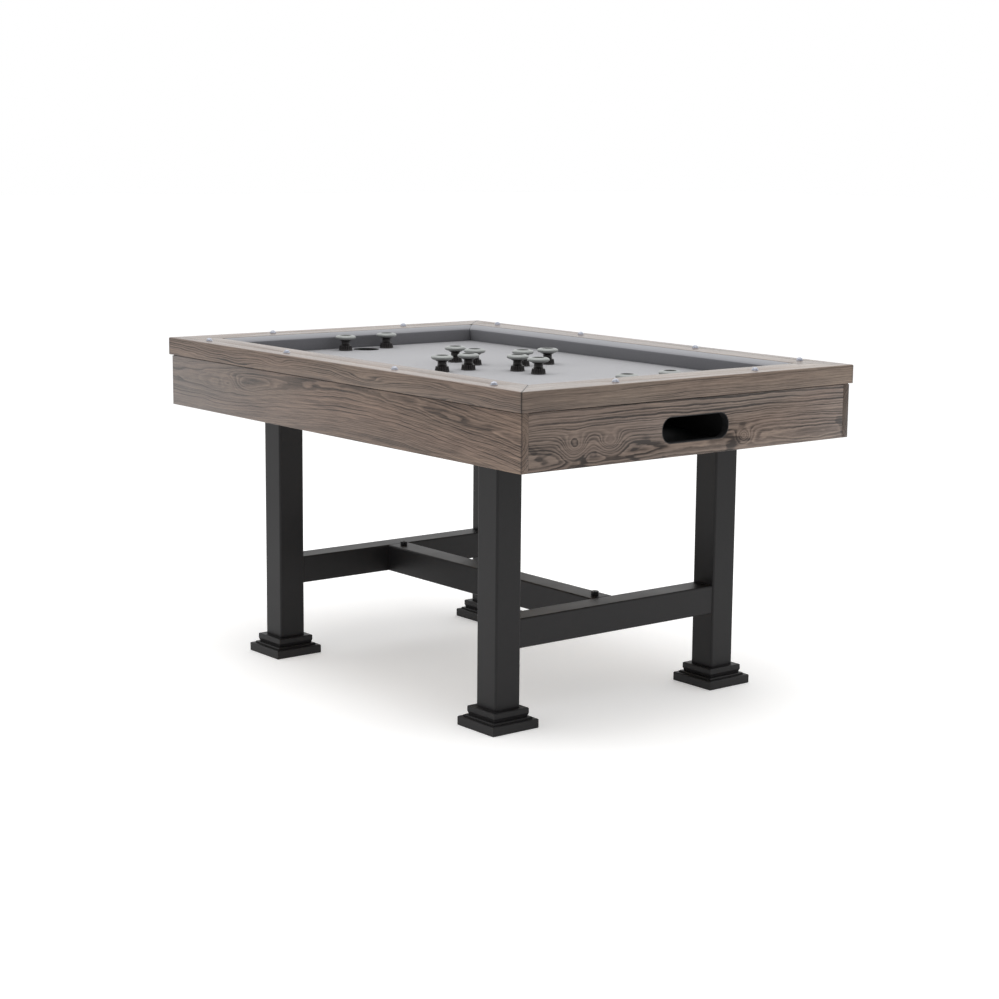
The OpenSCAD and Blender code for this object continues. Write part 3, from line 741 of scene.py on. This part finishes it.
WARM = (1.05, 1.0, 0.94)
rail_z = RAIL_LO.z
board_z = BOARD_LO.z
wood_of = {
    "rail_front": oak(
        "oak_rail_front", "front", HALF_W, rail_z,
        pith=[(0, 0.02), (0.25, 0.03), (0.45, 0.016), (0.6, 0.024), (0.8, 0.012), (1, 0.024)],
        height=[(0, 0.0), (0.25, -0.012), (0.45, -0.004), (0.65, -0.02), (0.82, 0.0), (1, -0.02)],
        ring=3.1 * MM, seed=3.1,
        knots=[(0.36, 0.02, 0.007, 0.06, 0.012), (0.62, 0.016, 0.008, 0.12, 0.01),
               (0.84, 0.026, 0.008, 0.1, 0.01)],
        bold=0.9, tint=WARM, tone_and_painted_light=(1.06, 1.0), mitred=True),
    "rail_back": oak(
        "oak_rail_back", "back", HALF_W, rail_z,
        pith=[(0, 0.03), (0.3, 0.012), (0.62, 0.03), (1, 0.02)],
        height=[(0, 0.02), (0.5, 0.03), (1, 0.015)],
        ring=4.2 * MM, seed=7.7, bold=0.85, tint=WARM, mitred=True),
    "rail_right": oak(
        "oak_rail_right", "right", HALF_L, rail_z,
        pith=[(0, 0.03), (1, 0.045)],
        height=[(0, -0.11), (1, -0.09)],
        ring=3.4 * MM, seed=5.2, bold=0.6, tint=(1.0, 1.0, 0.97), tone_and_painted_light=(0.96, 1.26), mitred=True),
    "rail_left": oak(
        "oak_rail_left", "left", HALF_L, rail_z,
        pith=[(0, 0.03), (1, 0.045)],
        height=[(0, -0.09), (1, -0.11)],
        ring=3.6 * MM, seed=9.4, bold=0.6, tint=WARM, mitred=True),
    "apron_front": oak(
        "oak_apron_front", "front", BOARD_Y, board_z,
        pith=[(0, 0.032), (0.12, 0.03), (0.26, 0.012), (0.4, 0.026), (0.7, 0.02), (1, 0.014)],
        height=[(0, 0.084), (0.2, 0.08), (0.4, 0.11), (0.6, 0.125), (0.8, 0.105), (1, 0.06)],
        ring=3.6 * MM, seed=1.6,
        knots=[(0.2, 0.08, 0.012, 0.05, 0.02)],
        bold=0.85, fibre=1.35, tint=(1.05, 0.98, 0.92), tone_and_painted_light=(0.76, 1.24)),
    "apron_back": oak(
        "oak_apron_back", "back", BOARD_Y, board_z,
        pith=[(0, 0.05), (0.4, 0.012), (0.7, 0.06), (1, 0.03)],
        height=[(0, 0.05), (0.5, 0.07), (1, 0.04)],
        ring=4.6 * MM, seed=12.9, bold=0.8),
    "apron_right": oak(
        "oak_apron_right", "right", END_X, board_z,
        pith=[(0, 0.01), (0.3, 0.014), (0.55, 0.03), (0.8, 0.012), (1, 0.02)],
        height=[(0, 0.02), (0.3, 0.03), (1, 0.02)],
        ring=5.6 * MM, seed=4.3,
        knots=[(0.15, 0.045, 0.034, 0.034, 0.026), (0.25, 0.046, 0.03, 0.034, 0.022),
               (0.65, 0.03, 0.024, 0.022, 0.016)],
        bold=0.95, blotch=0.55, tone_and_painted_light=(1.0, 1.36)),
    "apron_left": oak(
        "oak_apron_left", "left", END_X, board_z,
        pith=[(0, 0.02), (0.4, 0.008), (0.7, 0.03), (1, 0.01)],
        height=[(0, 0.07), (0.5, 0.06), (1, 0.09)],
        ring=5.2 * MM, seed=8.8,
        knots=[(0.3, 0.07, 0.026, 0.034, 0.024), (0.82, 0.04, 0.024, 0.03, 0.02)],
        bold=0.9, blotch=0.35),
}


def mitre_slots():
    """Thin slots along the four rail mitres, over the top and down the outer corner."""
    slots = []
    deep = 3 * MM
    wide = 1.0 * MM
    inner_y = 0.36  # past the rails' inner edges
    run = (HALF_W - inner_y) * math.sqrt(2)
    for sx in (-1, 1):
        for sy in (-1, 1):
            turn = math.degrees(math.atan2(sy, sx))
            corner = Vector((sx * HALF_L, sy * HALF_W))
            inward = Vector((-sx, -sy)).normalized()
            mid = corner + inward * (run / 2 - 2 * MM)
            slots.append(((mid.x, mid.y, TOP - deep + 5 * MM), (run, wide, 10 * MM), turn))
            mid = corner + inward * (deep - 5 * MM)
            slots.append(((mid.x, mid.y, rail_z), (10 * MM, wide, 200 * MM), turn))
    return slots


def shadow_gap(side):
    """A rebate along the top of a board's outer face, under the rail."""
    along_x = side in ("front", "back")
    out = BOARD_Y if along_x else END_X
    tall = 3 * MM
    deep = 4 * MM
    thick = 20 * MM
    long = 2 * BOARD_X + thick
    middle = on_side(side) @ Vector((0, deep - out - thick / 2, BOARD_HI.z - tall + thick / 2))
    return [(middle, (long, thick, thick) if along_x else (thick, long, thick), 0)]


for node, material in wood_of.items():
    part, side = node.split("_")
    if part == "rail":
        bar = eased("oak_rail_" + side, node, material)
        carve(bar, mitre_slots())
    else:
        board = eased("oak_board_" + side, node, material)
        carve(board, shadow_gap(side))

# ---- Cushions, bed cloth and bumpers in place ----

# Painted light and shade: the bed and the cushions wear one cloth, given as two copies, the cushions'
# darker for their shaded faces and the bed's paler for the light falling flat on it.
cushion_felt_painted_darker = cloth("grey_wool_cloth_painted_darker", rgb(117, 117, 121), 0.75)
bed_felt_painted_paler = cloth("wool_cloth_painted_paler", rgb(131, 129, 131), 0.8)
for side in SIDES:
    cover = cushion_cover(side, cushion_felt_painted_darker)
sheet = bed_sheet(bed_felt_painted_paler)

post_plastic = plastic("ribbed_black_plastic", rgb(31, 27, 27), 0.3)
ring_rubber = plastic("grey_rubber", rgb(136, 139, 137), 0.36, 0.12, 900, 0.08)
zinc = metal("zinc_plate", rgb(196, 198, 202), 0.4)
# Painted shade: a darkened copy of the zinc for the bumper bolts, which sit down the ring holes, so the
# holes read dark.
shaded_dull_zinc = metal("shaded_dull_zinc", rgb(74, 74, 77), 0.55)
for where in ("cross", "left", "right"):
    group("ribbed_posts_" + where, "bumper_posts_" + where, ribbed_post, post_plastic, "post_plastic")
    group("rubber_rings_" + where, "bumper_rings_" + where, rubber_ring, ring_rubber, "ring_rubber")

# ---- CAD nodes that stay, with their finishes ----

frame_steel = coated_steel("black_powder_coat", rgb(28, 27, 28), 0.42)
foot_steel = coated_steel("black_powder_coat_feet", rgb(30, 29, 30), 0.46)
bolt_black = coated_steel("black_oxide", rgb(26, 26, 27), 0.38, 1200)
dark_plastic = plastic("matt_black_plastic", rgb(24, 24, 25), 0.6)
cushion_rubber = plastic("black_rubber", rgb(44, 44, 46), 0.7)
leveler_plastic = plastic("leveler_black", rgb(48, 48, 50), 0.5)
plain_pine = pine("planed_pine")
slate = stone("honed_slate")
group("pearl_studs", "sights", stud, pearl("pearl"), "pearl")

kept = {
    "slate_bed": slate, "bumper_bolts": shaded_dull_zinc, "bumper_nuts": zinc, "rail_bolts": zinc,
    "leg_screws": zinc, "leveler_nuts": zinc, "stretcher_nuts": zinc, "stretcher_bolts": bolt_black,
    "cross_beams": plain_pine, "slate_ledgers": plain_pine, "corner_blocks": plain_pine,
    "leg_plates": frame_steel, "center_stretcher": frame_steel, "stretcher_tongues": frame_steel,
}
kept.update({"cushion_" + side: cushion_rubber for side in SIDES})
kept.update({"leg_" + corner: frame_steel for corner in CORNERS})
kept.update({"foot_" + corner: foot_steel for corner in CORNERS})
kept.update({"leveler_" + corner: leveler_plastic for corner in CORNERS})
kept.update({"end_stretcher_" + end: frame_steel for end in ENDS})
for part in ("ball_tray_", "slot_liner_", "pocket_liner_"):
    kept.update({part + end: dark_plastic for end in ENDS})
for node, material in kept.items():
    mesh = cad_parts[node].data
    mesh.materials.clear()
    mesh.materials.append(material)

# ---- Floor, light and camera ----


def floor():
    """A wide pale floor."""
    bm = bmesh.new()
    reach = 40
    corners = ((-1, -1), (1, -1), (1, 1), (-1, 1))
    bm.faces.new([bm.verts.new((x * reach, y * reach, 0)) for x, y in corners])
    mesh = bpy.data.meshes.new("floor")
    bm.to_mesh(mesh)
    bm.free()
    piece = bpy.data.objects.new("floor", mesh)
    bpy.context.scene.collection.objects.link(piece)
    g = Graph("pale_floor")
    speckle = g.noise(g.place(scale=(3, 3, 3)), detail=4)
    g.set(
        base_color=g.ramp(speckle, (0.3, 0.86), (0.7, 0.89)),
        roughness=0.9,
        specular_ior_level=0.1,
        emission_color=(1.0, 1.0, 1.0),
        emission_strength=0.3,
    )
    mesh.materials.append(g.mat)


def softbox(name, spot, target, size, power):
    """A rectangular lamp at spot, aimed at target."""
    lamp = bpy.data.lights.new(name, "AREA")
    lamp.shape = "RECTANGLE"
    lamp.size, lamp.size_y = size
    lamp.energy = power
    holder = bpy.data.objects.new(name, lamp)
    holder.location = spot
    aim = Vector(target) - Vector(spot)
    holder.rotation_euler = aim.to_track_quat("-Z", "Y").to_euler()
    bpy.context.scene.collection.objects.link(holder)


def surroundings():
    """A white room: brightest above and behind the table, dimmer on the near side."""
    brightest = Vector((-0.62, 0.62, 0.48))
    world = bpy.data.worlds.new("studio")
    bpy.context.scene.world = world
    world.use_nodes = True
    tree = world.node_tree
    way = tree.nodes.new("ShaderNodeTexCoord").outputs["Generated"]
    toward = tree.nodes.new("ShaderNodeVectorMath")
    toward.operation = "DOT_PRODUCT"
    toward.inputs[1].default_value = brightest.normalized()
    tree.links.new(way, toward.inputs[0])
    spread = tree.nodes.new("ShaderNodeMath")
    spread.operation = "MULTIPLY_ADD"
    spread.inputs[1].default_value = 0.5
    spread.inputs[2].default_value = 0.5
    tree.links.new(toward.outputs["Value"], spread.inputs[0])
    glow = tree.nodes.new("ShaderNodeValToRGB")
    for item, (at, value) in zip(glow.color_ramp.elements, ((0.2, 0.35), (0.75, 1.0))):
        item.position = at
        item.color = (value, value, value, 1)
    tree.links.new(spread.outputs[0], glow.inputs[0])
    seen = tree.nodes.new("ShaderNodeLightPath").outputs["Is Camera Ray"]
    white = tree.nodes.new("ShaderNodeMath")
    white.operation = "MAXIMUM"
    tree.links.new(glow.outputs[0], white.inputs[0])
    tree.links.new(seen, white.inputs[1])
    tree.links.new(white.outputs[0], tree.nodes["Background"].inputs["Strength"])
    tree.nodes["Background"].inputs["Color"].default_value = (1, 1, 1, 1)


def camera():
    """A camera off the near corner, a little above the table and turned slightly down at it."""
    yaw, pitch, roll = (math.radians(a) for a in (50.21, 9.67, 0.74))
    ahead = Vector((-math.sin(yaw) * math.cos(pitch), math.cos(yaw) * math.cos(pitch), -math.sin(pitch)))
    right = Vector((math.cos(yaw), math.sin(yaw), 0))
    up = right.cross(ahead)
    r = math.cos(roll) * right + math.sin(roll) * up
    u = math.cos(roll) * up - math.sin(roll) * right
    place = Vector((3.96518, -3.13559, 1.28304))
    data = bpy.data.cameras.new("camera")
    data.sensor_width = 36
    data.lens = 75.18
    data.shift_x = -0.0474
    data.clip_end = 200
    eye = bpy.data.objects.new("camera", data)
    axes = Matrix((r, u, -ahead)).transposed().to_4x4()
    eye.matrix_world = Matrix.Translation(place) @ axes
    bpy.context.scene.collection.objects.link(eye)
    bpy.context.scene.camera = eye


floor()
surroundings()
softbox("overhead", spot=(0.3, -0.3, 3.4), target=(0, 0, 0.5), size=(3.4, 2.8), power=75)
camera()
bpy.context.scene.view_settings.view_transform = "Standard"
